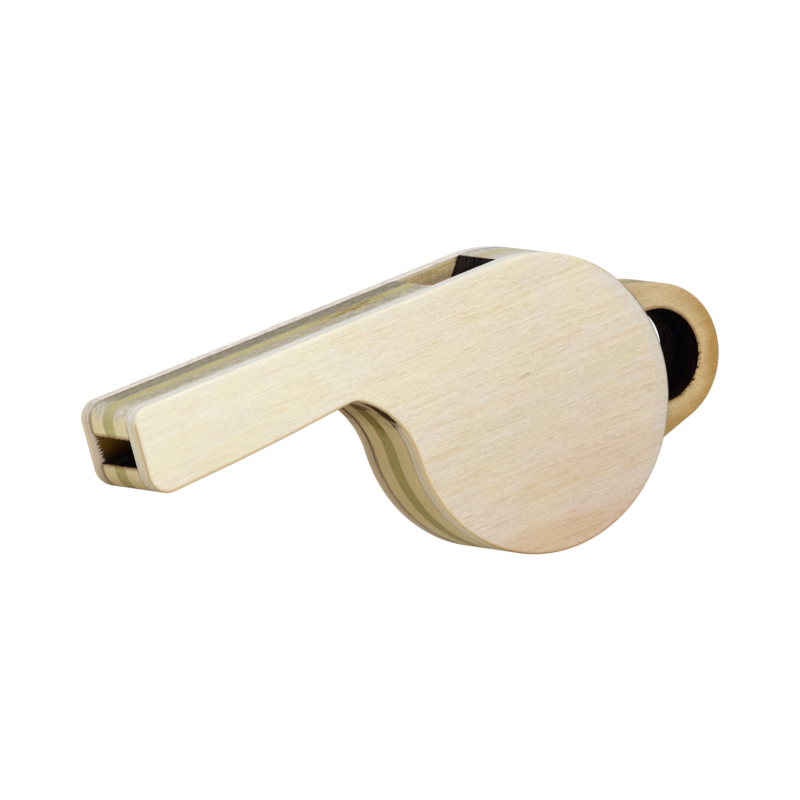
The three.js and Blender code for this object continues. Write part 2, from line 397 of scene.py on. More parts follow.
def layer(name, edges, low, high, round_low=False, round_high=False):
    """One layer between y = low and y = high: bands round each edge, and a face on each side."""
    vertices, quads, finishes, first_ring, last_ring = [], [], [], [], []
    offset = 0
    for edge in edges:
        x, y, z = rings(edge, low, high, round_low, round_high)
        row_count, count = x.shape
        vertices.append(to_table(x, y, z).reshape(-1, 3))
        quads.append(grid_faces(row_count, count) + offset)
        finishes.append(ring_finish(edge, row_count, round_low, round_high))
        numbers = np.arange(x.size).reshape(x.shape) + offset
        first_ring.append((np.column_stack([x[0], z[0]]), numbers[0]))
        last_ring.append((np.column_stack([x[-1], z[-1]]), numbers[-1]))
        offset += x.size
    caps = []
    for ring, clockwise in ((first_ring, False), (last_ring, True)):
        numbers = np.concatenate([n for _, n in ring])
        caps.append(numbers[face_triangles([p for p, _ in ring], clockwise)])
    piece = new_piece(name, np.concatenate(vertices), *quads, *caps)
    finish = np.concatenate([*finishes, np.full(sum(map(len, caps)), FACE)])
    mesh = piece.data
    mesh.polygons.foreach_set("material_index", finish.astype(np.int32))
    mesh.shade_smooth()
    mesh.set_sharp_from_angle(angle=SHARP_ANGLE)
    mesh.update()
    return piece


def sides(node):
    """Where a CAD layer starts and ends across the whistle, in millimetres."""
    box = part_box(node)
    return box[0][1] / MM, box[1][1] / MM


# %% [markdown]
# ## Cutting all the layers
# Each new piece stands for the CAD node of the same layer and takes its sides from it. Only the
# outer veneers have a broad round, on their outer side, and the two outer core plies carry the
# soft edge of the loop.

# %% Make the layers
pieces = {}


def add_layer(node, edges, slot, **rounds):
    """Builds the layer of a CAD node, hides the node behind it and lets it ride on the body."""
    piece = layer(f"{node}_wood", edges, *sides(node), **rounds)
    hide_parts(node)
    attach(piece, "body")
    pieces[node] = piece


add_layer("right_face_veneer", [plate_edge], "face_veneer", round_low=True)
add_layer("right_inner_veneer", [plate_edge], "inner_veneer")
add_layer("core_right_ply", [core_edge, eye_edge], "core_ply", round_low=True)
add_layer("core_middle_ply", [core_edge, eye_edge], "green_ply")
add_layer("core_left_ply", [core_edge, eye_edge], "core_ply", round_high=True)
add_layer("roof_right_ply", [roof_edge], "core_ply")
add_layer("roof_middle_ply", [roof_edge], "green_ply")
add_layer("roof_left_ply", [roof_edge], "core_ply")
add_layer("left_inner_veneer", [plate_edge], "inner_veneer")
add_layer("left_face_veneer", [plate_edge], "face_veneer", round_high=True)
print("layers:", len(pieces), "faces:", sum(len(p.data.polygons) for p in pieces.values()))

# %% [markdown]
# ## The pea
# The pea is turned from cork. It isn't quite round and its skin is pitted. It is a grid of
# longitudes and latitudes whose radius is pressed in a little by a few slow waves, never out,
# so it stays inside the CAD model's ball.

# %% Make the pea
PEA_COLUMNS, PEA_ROWS = 72, 36
DENT = 0.035  # share of the radius that the waves press in at most


def dented_ball(name, centre, radius):
    """A ball with r(a, b) = radius (1 - DENT w), w the mean of three waves, each from 0 to 1."""
    a = np.linspace(0, FULL_TURN, PEA_COLUMNS, endpoint=False)[None]
    b = np.linspace(0, pi, PEA_ROWS + 1)[1:-1, None]
    waves = (
        (1 + np.sin(3 * a + 1.1) * np.sin(b) ** 3)
        + (1 + np.cos(5 * b) * np.ones_like(a))
        + (1 + np.sin(2 * a - 0.4) * np.sin(2 * b) * np.sin(b))
    ) / 6
    r = radius * (1 - DENT * waves)
    ball = np.stack([r * np.sin(b) * np.cos(a), r * np.sin(b) * np.sin(a), r * np.cos(b)], axis=-1)
    poles = radius * (1 - DENT) * np.array([[0, 0, 1], [0, 0, -1]])
    vertices = np.concatenate([ball.reshape(-1, 3), poles]) + centre
    n = PEA_COLUMNS
    column, ahead = np.arange(n), (np.arange(n) + 1) % n
    north, south, last = len(vertices) - 2, len(vertices) - 1, (PEA_ROWS - 2) * n
    top = np.column_stack([np.full(n, north), column, ahead])
    bottom = np.column_stack([np.full(n, south), last + ahead, last + column])
    piece = new_piece(name, vertices, grid_faces(PEA_ROWS - 1, n), top, bottom)
    piece.data.shade_smooth()
    return piece


pea_low, pea_high = (np.array(corner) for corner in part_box("pea"))
pea = dented_ball("cork_pea", (pea_low + pea_high) / 2, (pea_high - pea_low)[2] / 2)
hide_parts("pea")
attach(pea, "pea")
print("pea across:", round((pea_high - pea_low)[0] / MM, 2), "mm")

# %% [markdown]
# ## Writing a finish
# A finish is a small recipe of nodes. The helpers below add one node at a time and hand back
# its output, so a recipe reads as a few sums. All patterns are drawn in the whistle's own
# millimetres: a Mapping node undoes the slope at rest and the shift to the axis.

# %% Helpers for recipes of nodes
WHITE = (1, 1, 1, 1)
BARE = 0.001  # specular level of unvarnished wood


def linear(red, green, blue):
    """A colour as seen on a screen, 0 to 255, as the linear values that a shader works in."""
    screen = np.array([red, green, blue]) / 255
    values = np.where(screen <= 0.04045, screen / 12.92, ((screen + 0.055) / 1.055) ** 2.4)
    return (*values.tolist(), 1.0)


class Nodes:
    """A tree of nodes in the making. Values may be numbers, colours or another node's output."""

    def __init__(self, owner):
        """Starts on a new material or world."""
        owner.use_nodes = True
        self.owner, self.tree = owner, owner.node_tree

    def fill(self, node, inputs):
        """Gives a node's inputs, named or numbered, their values or links."""
        for key, value in inputs.items():
            if isinstance(value, bpy.types.NodeSocket):
                self.tree.links.new(value, node.inputs[key])
            else:
                node.inputs[key].default_value = value
        return node

    def node(self, kind, inputs=(), **settings):
        node = self.tree.nodes.new("ShaderNode" + kind)
        for key, value in settings.items():
            setattr(node, key, value)
        return self.fill(node, dict(inputs))

    def math(self, operation, *values, clamp=False):
        node = self.node("Math", enumerate(values), operation=operation, use_clamp=clamp)
        return node.outputs[0]

    def times(self, first, *others):
        for other in others:
            first = self.math("MULTIPLY", first, other)
        return first

    def scaled(self, value, factor, start):
        """start + factor * value"""
        return self.math("MULTIPLY_ADD", value, factor, start)


class Coat(Nodes):
    """A material in the making, with the place on the drawing, in millimetres."""

    def __init__(self, name):
        super().__init__(bpy.data.materials.new(name))
        inputs = {
            "Vector": self.node("TexCoord").outputs["Object"],
            "Location": (axis_point * MM).tolist(),
            "Rotation": (0, -TILT, 0),
            "Scale": (MM, MM, MM),
        }
        self.place = self.node("Mapping", inputs, vector_type="TEXTURE").outputs[0]
        self.parts = self.node("SeparateXYZ", {"Vector": self.place}).outputs

    def vector(self, operation, *values):
        node = self.node("VectorMath", enumerate(values), operation=operation)
        return node.outputs["Value" if operation in ("LENGTH", "DISTANCE") else "Vector"]

    def fade(self, value, start, end, low=0.0, high=1.0):
        """Runs smoothly from low to high as the value goes from start to end."""
        inputs = {"Value": value, "From Min": start, "From Max": end, "To Min": low, "To Max": high}
        return self.node("MapRange", inputs, interpolation_type="SMOOTHSTEP").outputs[0]

    def mix(self, share, first, second, blend="MIX"):
        inputs = {0: share, 6: first, 7: second}
        return self.node("Mix", inputs, data_type="RGBA", blend_type=blend).outputs[2]

    def tinted(self, share, colour, tint):
        """The colour multiplied by a tint, which is three factors."""
        return self.mix(share, colour, (*tint, 1), "MULTIPLY")

    def noise(self, lengths, detail=2.0, roughness=0.5, seed=0.0, place=None):
        """Noise from 0 to 1 with features of these lengths, in millimetres, along x, y and z."""
        inputs = {"Vector": place or self.place, "Location": [seed] * 3, "Scale": lengths}
        mapped = self.node("Mapping", inputs, vector_type="TEXTURE").outputs[0]
        inputs = {"Vector": mapped, "Scale": 1.0, "Detail": detail, "Roughness": roughness}
        return self.node("TexNoise", inputs).outputs[0]

    def swing(self, noise):
        """The noise about zero."""
        return self.math("SUBTRACT", noise, 0.5)

    def surface(self, colour, roughness, height, depth, specular=BARE):
        """Finishes the material, with a bump of this depth in millimetres."""
        bump = self.node("Bump", {"Height": height, "Distance": depth * MM})
        inputs = {"Base Color": colour, "Roughness": roughness, "Normal": bump.outputs[0]}
        inputs["Specular IOR Level"] = specular
        self.fill(self.tree.nodes["Principled BSDF"], inputs)
        return self.owner


print("wood is matt:", BARE)

# %% [markdown]
# ## Char
# The walls of the cuts are burnt. The beam left them near black, but the fibres still show, and
# each ply has its own tint: dark red-brown on the right, violet in the green ply and grey-brown
# on the left. The wall behind the window was wiped and is greyer.

# %% The recipe for char
CHARCOAL, EMBER, WIPED = linear(6, 4, 5), linear(58, 36, 26), linear(60, 52, 51)
RED_BROWN, VIOLET, GREY_BROWN = linear(36, 22, 24), linear(28, 21, 34), linear(52, 42, 42)


def char():
    """Black-brown, with thin fibres along the plies."""
    coat = Coat("laser_char")
    x, y, z = coat.parts
    ridges = coat.noise((1.3, 0.2, 1.3), 3, 0.6)
    patches = coat.noise((1.6, 0.9, 1.6), 3, 0.6, seed=4.4)
    tint = coat.mix(coat.fade(y, -1.8, -0.8), RED_BROWN, VIOLET)
    tint = coat.mix(coat.fade(y, 0.4, 1.4), tint, GREY_BROWN)
    behind = coat.times(coat.fade(x, -1.5, -0.5), coat.fade(x, 5, 7, 1, 0), coat.fade(z, 7.5, 9))
    tint = coat.mix(coat.times(behind, 0.8), tint, WIPED)
    colour = coat.mix(coat.fade(ridges, 0.3, 0.75), CHARCOAL, tint)
    colour = coat.mix(coat.fade(patches, 0.52, 0.85, 0, 0.5), colour, EMBER)
    roughness = coat.fade(patches, 0.3, 0.7, 0.62, 0.85)
    return coat.surface(colour, roughness, ridges, 0.03)


laser_char = char()

# %% [markdown]
# ## How far from a cut
# The laser left soot on the rims of its cuts. To place it, a recipe measures how far a point is
# from the windway, the window and the loop's eye. The distance to a box is the length of what
# sticks out past its half sizes, and the one to the eye is that to its middle less its radius.

# %% Distances to the cuts and to the axis
WINDWAY = (2 * MOUTH, FLOOR_AT_MOUTH), (-WINDOW_FRONT, CEILING)  # its taper hardly matters
WINDOW = (-WINDOW_FRONT, CEILING), (WINDOW_BACK, 2 * TOP)


def from_box(coat, box, side=CORE_SIDE):
    """Distance to a box between -side and side: length(max(|p - middle| - half, 0))."""
    (left, low), (right, high) = box
    low, high = np.array([left, -side, low]), np.array([right, side, high])
    offset = coat.vector("SUBTRACT", coat.place, ((low + high) / 2).tolist())
    offset = coat.vector("ABSOLUTE", offset)
    outside = coat.vector("SUBTRACT", offset, ((high - low) / 2).tolist())
    return coat.vector("LENGTH", coat.vector("MAXIMUM", outside, (0, 0, 0)))


def on_side_view(coat):
    """The place without its y."""
    return coat.vector("MULTIPLY", coat.place, (1, 0, 1))


def from_eye(coat):
    """Distance to the eye's rim on the side view."""
    middle = (LOOP_CENTRE[0], 0, LOOP_CENTRE[1])
    away = coat.vector("DISTANCE", on_side_view(coat), middle)
    return coat.math("SUBTRACT", away, EYE_RADIUS)


def from_axis(coat):
    """Distance to the chamber's axis."""
    return coat.vector("LENGTH", on_side_view(coat))


# %% [markdown]
# ## Grain
# Pores, fine fibres, broader streaks and slow clouds are the same kind of noise, stretched
# along the grain and thin across it. Because the pattern fills space, the same fibres show as
# lines on a face and as specks where the saw went across them. A few thin lines stand out: they
# are the peaks of one more stretched noise. A patch is a stain with a place of its own.

# %% Grain and lines
FIBRES, PORES, STREAKS, CLOUDS = (2.0, 0.14), (0.3, 0.13), (9.0, 0.17), (22.0, 4.0)  # length, width


def wavy(coat):
    """The place with its height swayed by a slow noise, so that no fibre runs dead straight."""
    sway = coat.swing(coat.noise((14.0, 8.0, 5.0), 1, seed=21.0))
    up = coat.node("CombineXYZ", {"Z": coat.times(sway, 1.1)})
    return coat.vector("ADD", coat.place, up.outputs[0])


def grain(coat, weights, crosswise):
    """From 0, pale, to 1, deep: the weighted sum of four noises about one half. Also the fibres."""
    tone, patterns, swayed = 0.5, [], wavy(coat)
    for (length, width), weight in zip((FIBRES, PORES, STREAKS, CLOUDS), weights):
        lengths = (width, length, width) if crosswise else (length, width, width)
        patterns.append(coat.noise(lengths, 2, 0.6, length, swayed))
        tone = coat.scaled(coat.swing(patterns[-1]), weight, tone)
    return coat.math("ADD", tone, 0, clamp=True), patterns[0]


def lines(coat, place, length, width, rarity, seed):
    """1 on thin lines along the grain and 0 between them: where a noise rises past rarity."""
    peaks = coat.noise((length, width, width), 1, 0.5, seed, place)
    return coat.fade(peaks, rarity, rarity + 0.1)


def patch(coat, middle, radii, raggedness=1.0, crumbs=(0.8, 0.5, 0.8)):
    """1 in the middle of an ellipsoid and 0 past its border, which noise makes uneven."""
    away = coat.vector("DIVIDE", coat.vector("SUBTRACT", coat.place, middle), radii)
    uneven = coat.swing(coat.noise(crumbs, 3, 0.6, seed=5.5))
    away = coat.scaled(uneven, raggedness, coat.vector("LENGTH", away))
    return coat.fade(away, 0.45, 1.0, 1, 0)


# %% [markdown]
# ## Stains and painted light
# What makes this whistle look used and hand-made lies on top of the grain. Each stain below
# takes the colour so far and gives it back stained: pale and golden lines in the veneers, a
# rosy tinge on the belly, partly painted shade, brown rims where sanding heated the wood, grey
# dust on the top edge, partly a painted sheen, glue in the joints, scorched wood in the neck
# and soot beside the cuts. Painted light and shade go on the same way: shade under the neck's
# arch, in the windway and low in the window, light along the window's top and front, a
# reflection and a shade on the belly's rim behind, and a highlight along the face's top edge.

# %% Lines, tinges and painted shade and light of the face veneers
BIRCH_WHITE, BIRCH_CREAM = linear(238, 236, 226), linear(239, 233, 209)
HONEY, KNOT = linear(220, 190, 136), linear(150, 112, 62)
ROSY_TINT_AND_SHADE, DEEPER_TINT_AND_SHADE, PEACH = (0.937, 0.903, 0.9), (0.831, 0.751, 0.742), (0.955, 0.86, 0.77)
GREENISH, PURPLISH, BLUISH_REFLECTION = (1.0, 1.0, 0.94, 1), (1.0, 0.995, 1.05, 1), (0.93, 0.97, 1.09)
MOUTHPIECE = -34, -14  # where along it the grain comes in
VENEER_LINES = (  # length, width, rarity, seed, strength and colour
    (3.5, 0.14, 0.62, 6.1, 0.28, BIRCH_WHITE),
    (1.8, 0.13, 0.63, 2.9, 0.4, HONEY),
    (4.5, 0.18, 0.66, 11.3, 0.4, HONEY),
    (11.0, 0.4, 0.6, 17.7, 0.2, HONEY),
)


def veneer_lines(coat, colour):
    """Thin pale lines, honey-coloured ones, and the one brown fleck beside the belly's middle.

    Towards the mouth the grain and its lines are fainter.
    """
    x = coat.parts[0]
    colour = coat.mix(coat.fade(x, *MOUTHPIECE, 0.4, 0), colour, BIRCH_CREAM)
    clearness = coat.fade(x, *MOUTHPIECE, 0.5, 1)
    swayed = wavy(coat)
    for *pattern, strength, tint in VENEER_LINES:
        line = coat.times(lines(coat, swayed, *pattern), clearness, strength)
        colour = coat.mix(line, colour, tint)
    fleck = patch(coat, (-0.9, 0, 3.1), (1.2, 10.0, 0.22), 1.6, (0.5, 0.5, 0.12))
    return coat.mix(coat.times(fleck, 0.4), colour, KNOT)


def belly_tinge_and_painted_light(coat, colour):
    """Deeper and rosier towards the belly's foot, peach below, with greenish and purplish clouds.

    Deeper and rosier is partly the wood's tinge and partly painted shade. The border behind is
    bluish with a painted reflection, and the one on top pale with a painted highlight.
    """
    x, _, z = coat.parts
    wander = coat.swing(coat.noise((9.0, 4.0, 4.0), seed=8.8))
    backward = coat.scaled(wander, 8, coat.scaled(z, 0.5, x))
    # Rosier to the right and deeper below: partly the wood's tinge, partly painted shade towards
    # the lower right.
    colour = coat.tinted(coat.fade(backward, -23, 6), colour, ROSY_TINT_AND_SHADE)
    colour = coat.tinted(coat.fade(z, -16, 16, 1, 0), colour, DEEPER_TINT_AND_SHADE)
    foot = coat.fade(coat.scaled(wander, 2.5, z), -11.9, -10.1, 1, 0)
    streak = patch(coat, (1.5, 0, -6.8), (9.0, 50.0, 2.2), 2.2, (3.0, 3.0, 0.5))
    below = coat.math("MAXIMUM", foot, coat.times(streak, 0.35))
    colour = coat.tinted(below, colour, PEACH)
    clouds = coat.noise((5.0, 2.5, 2.5), seed=14.2)
    tinge = coat.mix(coat.fade(clouds, 0.3, 0.7), GREENISH, PURPLISH)
    colour = coat.mix(1.0, colour, tinge, "MULTIPLY")
    # Painted reflection: a bluish bloom on the border behind, as from the white surround.
    border = coat.fade(from_axis(coat), 11.8, 13.6)
    colour = coat.tinted(coat.times(border, coat.fade(x, 7, 11)), colour, BLUISH_REFLECTION)
    # Painted highlight: paler towards the top edge.
    return coat.mix(coat.fade(z, TOP - 1.2, TOP, 0, 0.25), colour, BIRCH_WHITE)


# %% Browned edges
BROWNED, TANNED = (0.8, 0.725, 0.61), (0.9, 0.79, 0.76)


def height_on_top(coat):
    """1 on the top edge and the crown behind it, 0 on the mouth end and below, mottled between.

    The crown curves down as x grows, so x counts a quarter towards the height there.
    """
    x, _, z = coat.parts
    height = coat.scaled(coat.math("MAXIMUM", x, 0), 0.25, z)
    mottle = coat.swing(coat.noise((0.5, 0.25, 0.5), 3, 0.7, seed=9.9))
    return coat.fade(coat.scaled(mottle, 1.6, height), TOP - 1.7, TOP - 0.3)


def below_top(coat):
    """The opposite of height_on_top."""
    return coat.math("SUBTRACT", 1, height_on_top(coat))


def browned(left, right, coat, colour):
    """Sanding browned the edges low on the mouth end and behind it, but hardly the belly's foot."""
    x, y, z = coat.parts
    behind = coat.fade(x, MOUTH + 2, -WAIST_REACH - 2)
    low = coat.fade(z, TOP - MOUTH_HEIGHT, TOP - 4.5, 1, 0)
    amount = coat.times(
        coat.math("MAXIMUM", behind, low),
        coat.fade(z, -10.5, -5.5, 0.1, 1),
        below_top(coat),
        coat.fade(y, -CORE_SIDE, CORE_SIDE, right, left),
    )
    return coat.tinted(amount, colour, BROWNED)


def tanned_left(coat, colour):
    """The left plate's inner veneer is tan where the right one's is white."""
    left = coat.math("GREATER_THAN", coat.parts[1], 0)
    return coat.tinted(left, colour, TANNED)


# %% Dust and painted sheen on top
WORN_DUST, PLATE_DUST = linear(204, 196, 180), linear(219, 216, 209)


def top_dust_and_sheen(left, right, behind, speckle, coat, colour):
    """Dust on top in dark streaks, with a colour for each side and behind.

    The grey is partly dust and partly a painted sheen of the grazing top. It is thinner towards
    the mouth, worn pale on the corner there, and pale beside the right plate. Speckle is how far
    its specks are paler and darker than the rest.
    """
    left, right, behind = (linear(*rgb) for rgb in (left, right, behind))
    x, y, _ = coat.parts
    streaks = coat.noise((3.0, 0.35, 2.0), 3, 0.7, seed=1.9)
    mottles = coat.noise((0.9, 0.45, 0.9), 3, 0.6, seed=6.4)
    specks = coat.noise((0.45, 0.25, 0.45), 2, 0.6, seed=3.7)
    smear = coat.times(
        coat.fade(coat.math("ADD", streaks, mottles), 0.7, 1.3, 0.8, 1.16),
        coat.fade(specks, 0.3, 0.7, 1 - speckle, 1 + speckle),
    )
    dust_and_sheen_colour = coat.mix(coat.fade(y, -CORE_SIDE / 2, CORE_SIDE / 2), right, left)
    dust_and_sheen_colour = coat.mix(coat.fade(x, WINDOW_BACK - 0.5, WINDOW_BACK + 0.5), dust_and_sheen_colour, behind)
    worn = coat.scaled(mottles, 3.0, x)
    worn = coat.fade(worn, MOUTH + 1.7, MOUTH + 4.6, 0.85, 0)
    dust_and_sheen_colour = coat.mix(worn, dust_and_sheen_colour, WORN_DUST)
    smeared = {0: dust_and_sheen_colour, "Scale": smear}
    dust_and_sheen_colour = coat.node("VectorMath", smeared, operation="SCALE").outputs[0]
    by_plate = coat.fade(y, 0.15 - CORE_SIDE, 0.5 - CORE_SIDE, 0.75, 0)
    dust_and_sheen_colour = coat.mix(by_plate, dust_and_sheen_colour, PLATE_DUST)
    # Grey on top: dust, and partly a painted sheen.
    amount = coat.times(height_on_top(coat), coat.fade(x, -34, -22, 0.93, 1))
    return coat.mix(amount, colour, dust_and_sheen_colour)


# %% The green ply and the golden rims
GREEN_DUST_AND_SHEEN, RUST, FOOT_TAN = linear(226, 214, 196), linear(142, 112, 64), linear(196, 172, 132)
YELLOWED, SCORCHED = (0.94, 0.94, 0.86), (0.68, 0.62, 0.5)
MOUTH_GOLD, GOLD, BACK_SHADE_BROWN = linear(192, 172, 134), linear(204, 180, 134), linear(112, 98, 66)
DEEP_GOLD, FOOT_BROWN = linear(206, 170, 112), linear(178, 138, 84)


def burnt_green(coat, colour):
    """The green ply: dusty on top, most so behind the window, and burnt ahead of it.

    Its pale top is partly dust and partly a painted sheen. It is browner and yellower in the
    neck, and tan at the belly's foot.
    """
    x, _, z = coat.parts
    patches = coat.noise((1.6, 0.6, 1.6), 3, 0.6, seed=7.1)
    on_top = height_on_top(coat)
    # Paler on top: dust, and partly a painted sheen.
    pale = coat.times(on_top, coat.fade(x, -1, 1, 0.2, 0.36))
    colour = coat.mix(pale, colour, GREEN_DUST_AND_SHEEN)
    burnt = coat.times(
        coat.fade(x, -20, -14),
        coat.fade(x, -12.0, -9.3, 1, 0),
        on_top,
        coat.fade(patches, 0.38, 0.6, 0.15, 0.9),
    )
    colour = coat.mix(burnt, colour, RUST)
    behind = coat.fade(x, MOUTH + 2, -WAIST_REACH)
    neck = coat.times(behind, coat.fade(z, TOP - 7, TOP - 5, 1, 0))
    colour = coat.tinted(neck, colour, YELLOWED)
    colour = coat.mix(coat.fade(z, -11.5, -6, 0.55, 0), colour, FOOT_TAN)
    arch = (3.4 - WAIST_REACH, -0.4, TOP - WAIST_HEIGHT - 3.4)
    return coat.tinted(patch(coat, arch, (3.2, 2.0, 3.2)), colour, SCORCHED)


def golden_rim(coat, colour):
    """The rounded rim of a face veneer: tan at the mouth end, golden behind, and pale on top.

    Round the belly's back a painted shade darkens it to a thin brown line, and it is browner at
    the foot. Under the mouthpiece, along the line from its foot to the waist, the gold reaches the
    face.
    """
    x, y, z = coat.parts
    rise = (waist_foot[1] - mouth_foot[1]) / (waist_foot[0] - mouth_foot[0])
    foot = mouth_foot[1] - rise * mouth_foot[0]
    under = coat.times(
        coat.fade(coat.scaled(x, -rise, z), foot + 0.4, foot + 0.8, 1, 0),
        coat.fade(x, -WAIST_REACH - 2, -WAIST_REACH, 1, 0),
    )
    band = coat.fade(coat.math("ABSOLUTE", y), FACE_SIDE - 0.1, FACE_SIDE, 1, 0.1)
    band = coat.math("MAXIMUM", band, coat.times(under, 0.45))
    gold = coat.mix(coat.fade(x, MOUTH + 1, MOUTH + 4), MOUTH_GOLD, GOLD)
    # Round the belly's back, where the rim turns away: painted shade, a thin brown line.
    gold = coat.mix(coat.fade(x, 10.8, 12.5), gold, BACK_SHADE_BROWN)
    gold = coat.mix(under, gold, DEEP_GOLD)
    gold = coat.mix(coat.fade(z, -12.5, -8, 1, 0), gold, FOOT_BROWN)
    return coat.mix(coat.times(band, below_top(coat)), colour, gold)


# %% Glue in the joints
GLUE = linear(92, 60, 30)


def glued(joints, coat, colour):
    """Wavering lines in the joints, which are (y, width, darkness).

    They end where the plates do, and beside the cuts, and are fainter on top, low on the belly
    and at the mouth.
    """
    x, y, z = coat.parts
    outward = coat.times(from_axis(coat), coat.math("GREATER_THAN", x, 0))
    by_cuts = [from_box(coat, cut, FACE_SIDE) for cut in (WINDWAY, WINDOW)]
    covered = coat.times(
        coat.fade(outward, BODY_RADIUS, BODY_RADIUS + 0.3, 1, 0),
        coat.fade(coat.math("MINIMUM", *by_cuts), 0.05, 0.3),
        coat.scaled(height_on_top(coat), -0.55, 1),
        coat.fade(z, -4.5, 5, 0.5, 1),
        coat.fade(x, MOUTH + 0.5, MOUTH + 4, 0.62, 1),
    )
    waver = coat.noise((1.5, 0.3, 1.5), 3, 0.6, seed=2.2)
    for side, width, darkness in joints:
        off = coat.math("ABSOLUTE", coat.math("SUBTRACT", y, side))
        off = coat.math("DIVIDE", off, coat.times(waver, 2 * width))
        line = coat.times(coat.fade(off, 0.4, 1.3, darkness, 0), covered)
        colour = coat.mix(line, colour, GLUE)
    return colour


# %% Painted shade and scorch marks in the neck
NECK_SHADE_AND_SCORCHES = (  # middle from the arch's top, radii, raggedness, strength and colour
    # The first row is painted shade under the arch; the other two are scorch marks.
    ((2.0, 0.0, -1.4), (4.4, 30.0, 4.4), 1.2, 0.5, linear(108, 78, 44)),
    ((2.3, -0.7, -1.9), (1.0, 1.9, 1.0), 1.0, 0.8, linear(78, 58, 36)),
    ((2.8, -3.75, -2.2), (3.0, 1.15, 3.0), 1.2, 0.97, linear(54, 34, 18)),
)


def neck_shade_and_scorches(coat, colour):
    """Painted brown shade under the arch, a dark smear across and a black lens by the right glue
    line.
    """
    arch = np.array([-WAIST_REACH, 0, TOP - WAIST_HEIGHT])
    for offset, radii, raggedness, strength, tint in NECK_SHADE_AND_SCORCHES:
        amount = patch(coat, (arch + offset).tolist(), radii, raggedness)
        colour = coat.mix(coat.times(amount, strength), colour, tint)
    return colour


# %% Soot beside the cuts
SOOT, SINGED = linear(20, 13, 11), linear(118, 72, 30)


def sooty(coat, colour):
    """Black at the rim of a cut, then brown, with teeth along the grain.

    The teeth are longest behind and below the eye. The window has a thin line behind it only.
    """
    x, _, z = coat.parts
    ahead = coat.fade(x, -WINDOW_FRONT / 2, -WINDOW_FRONT / 2 + 1, 1, 0)
    window = coat.scaled(from_box(coat, WINDOW), 2.5, ahead)
    cut = coat.math("MINIMUM", from_box(coat, WINDWAY), window)
    cut = coat.math("MINIMUM", cut, from_eye(coat))
    teeth = coat.swing(coat.noise((0.5, 0.2, 0.2), 2, 0.6, seed=7.7))
    low = coat.math("SUBTRACT", x, z)
    low = coat.fade(low, LOOP_CENTRE[0] + 4.5, LOOP_CENTRE[0] + 7, 0.3, 1.3)
    ragged = coat.math("ADD", coat.times(teeth, low), cut)
    colour = coat.mix(coat.fade(ragged, 0.05, 0.48, 0.78, 0), colour, SINGED)
    return coat.mix(coat.fade(ragged, -0.02, 0.12, 1, 0), colour, SOOT)


# %% Painted shade and light on the inner veneers, and the loop's colours and sheen
WINDWAY_SHADE_BLACK, WINDWAY_SHADE_BROWN, SINGE = linear(58, 38, 18), linear(148, 104, 34), linear(42, 28, 18)
WINDOW_LIT_CREAM, TORN, LOOP_SHEEN_GREY = linear(246, 228, 188), linear(238, 222, 190), linear(203, 197, 190)
WINDOW_SHADE, LOOP_GOLD, LOOP_BROWN = (0.79, 0.77, 0.8), (0.93, 0.88, 0.7), (0.76, 0.62, 0.42)


def inner_sides_shade_light_and_soot(coat, colour):
    """The plates' inner sides: brown to black in the windway, torn pale fibres at its mouth.

    The brown to black in the windway is painted shade. In the window they have painted shade
    below, painted light in front and along the top, and they are sooty behind.
    """
    x, _, z = coat.parts
    # Painted shade in the windway, brown with black towards its floor.
    inside = coat.fade(from_box(coat, WINDWAY), 0.0, 0.3, 1, 0)
    teeth = coat.swing(coat.noise((1.5, 1.5, 0.13), 1, seed=3.1))
    depth = coat.scaled(teeth, -1.6, coat.math("ADD", x, -MOUTH))
    windway_shade_and_fibres = coat.mix(coat.fade(z, FLOOR_AT_MOUTH, CEILING - 0.4), WINDWAY_SHADE_BLACK, WINDWAY_SHADE_BROWN)
    windway_shade_and_fibres = coat.mix(coat.fade(depth, 0.25, 0.4), TORN, windway_shade_and_fibres)
    # Painted shade low in the window, and painted light in front.
    colour = coat.tinted(coat.fade(z, TOP - 1.4, TOP - 0.7, 1, 0), colour, WINDOW_SHADE)
    colour = coat.mix(coat.fade(x, -6.8, -4.2, 0.35, 0), colour, WINDOW_LIT_CREAM)
    colour = coat.mix(inside, colour, windway_shade_and_fibres)
    # Painted light along the top of the window.
    colour = coat.mix(coat.fade(z, TOP - 0.42, TOP - 0.08, 0, 0.85), colour, WINDOW_LIT_CREAM)
    singe = coat.scaled(teeth, 0.8, x)
    singe = coat.fade(singe, WINDOW_BACK - 0.7, WINDOW_BACK - 0.1, 0, 0.85)
    return coat.mix(singe, colour, SINGE)


def browned_loop(coat, colour):
    """The loop's flat sides: golden brown in patches, most of them towards its back and foot."""
    x, _, z = coat.parts
    patches = coat.noise((3.0, 3.0, 2.0), seed=6.6)
    back = coat.scaled(z, -0.7, x)
    back = coat.fade(back, LOOP_CENTRE[0] - 3, LOOP_CENTRE[0] + 7, 0.1, 1.0)
    colour = coat.tinted(back, colour, LOOP_GOLD)
    rim = coat.math("ADD", from_eye(coat), coat.times(patches, 2.0))
    return coat.tinted(coat.times(coat.fade(rim, 1.6, 3.0), back), colour, LOOP_BROWN)


def loop_edge_sheen(share, coat, colour):
    """The loop's outer edge, and the crown's end before it, are grey with a painted sheen."""
    outer = coat.fade(coat.parts[0], 7.5, 11.5, 0, share)
    return coat.mix(outer, colour, LOOP_SHEEN_GREY)


# %% [markdown]
# ## A wood for every layer
# A wood is a pale and a deep colour with the grain between them, and then its stains and painted
# light in order.
# Fibres also stand up a little and shine a little less, so the same noise drives the bump and
# the roughness.

# %% The recipe for wood
EVEN_GRAIN = (0.65, 1.45, 1.15, 0.4)  # weights of fibres, pores, streaks and clouds
STRONG_GRAIN = (1.6, 2.2, 1.4, 0.5)


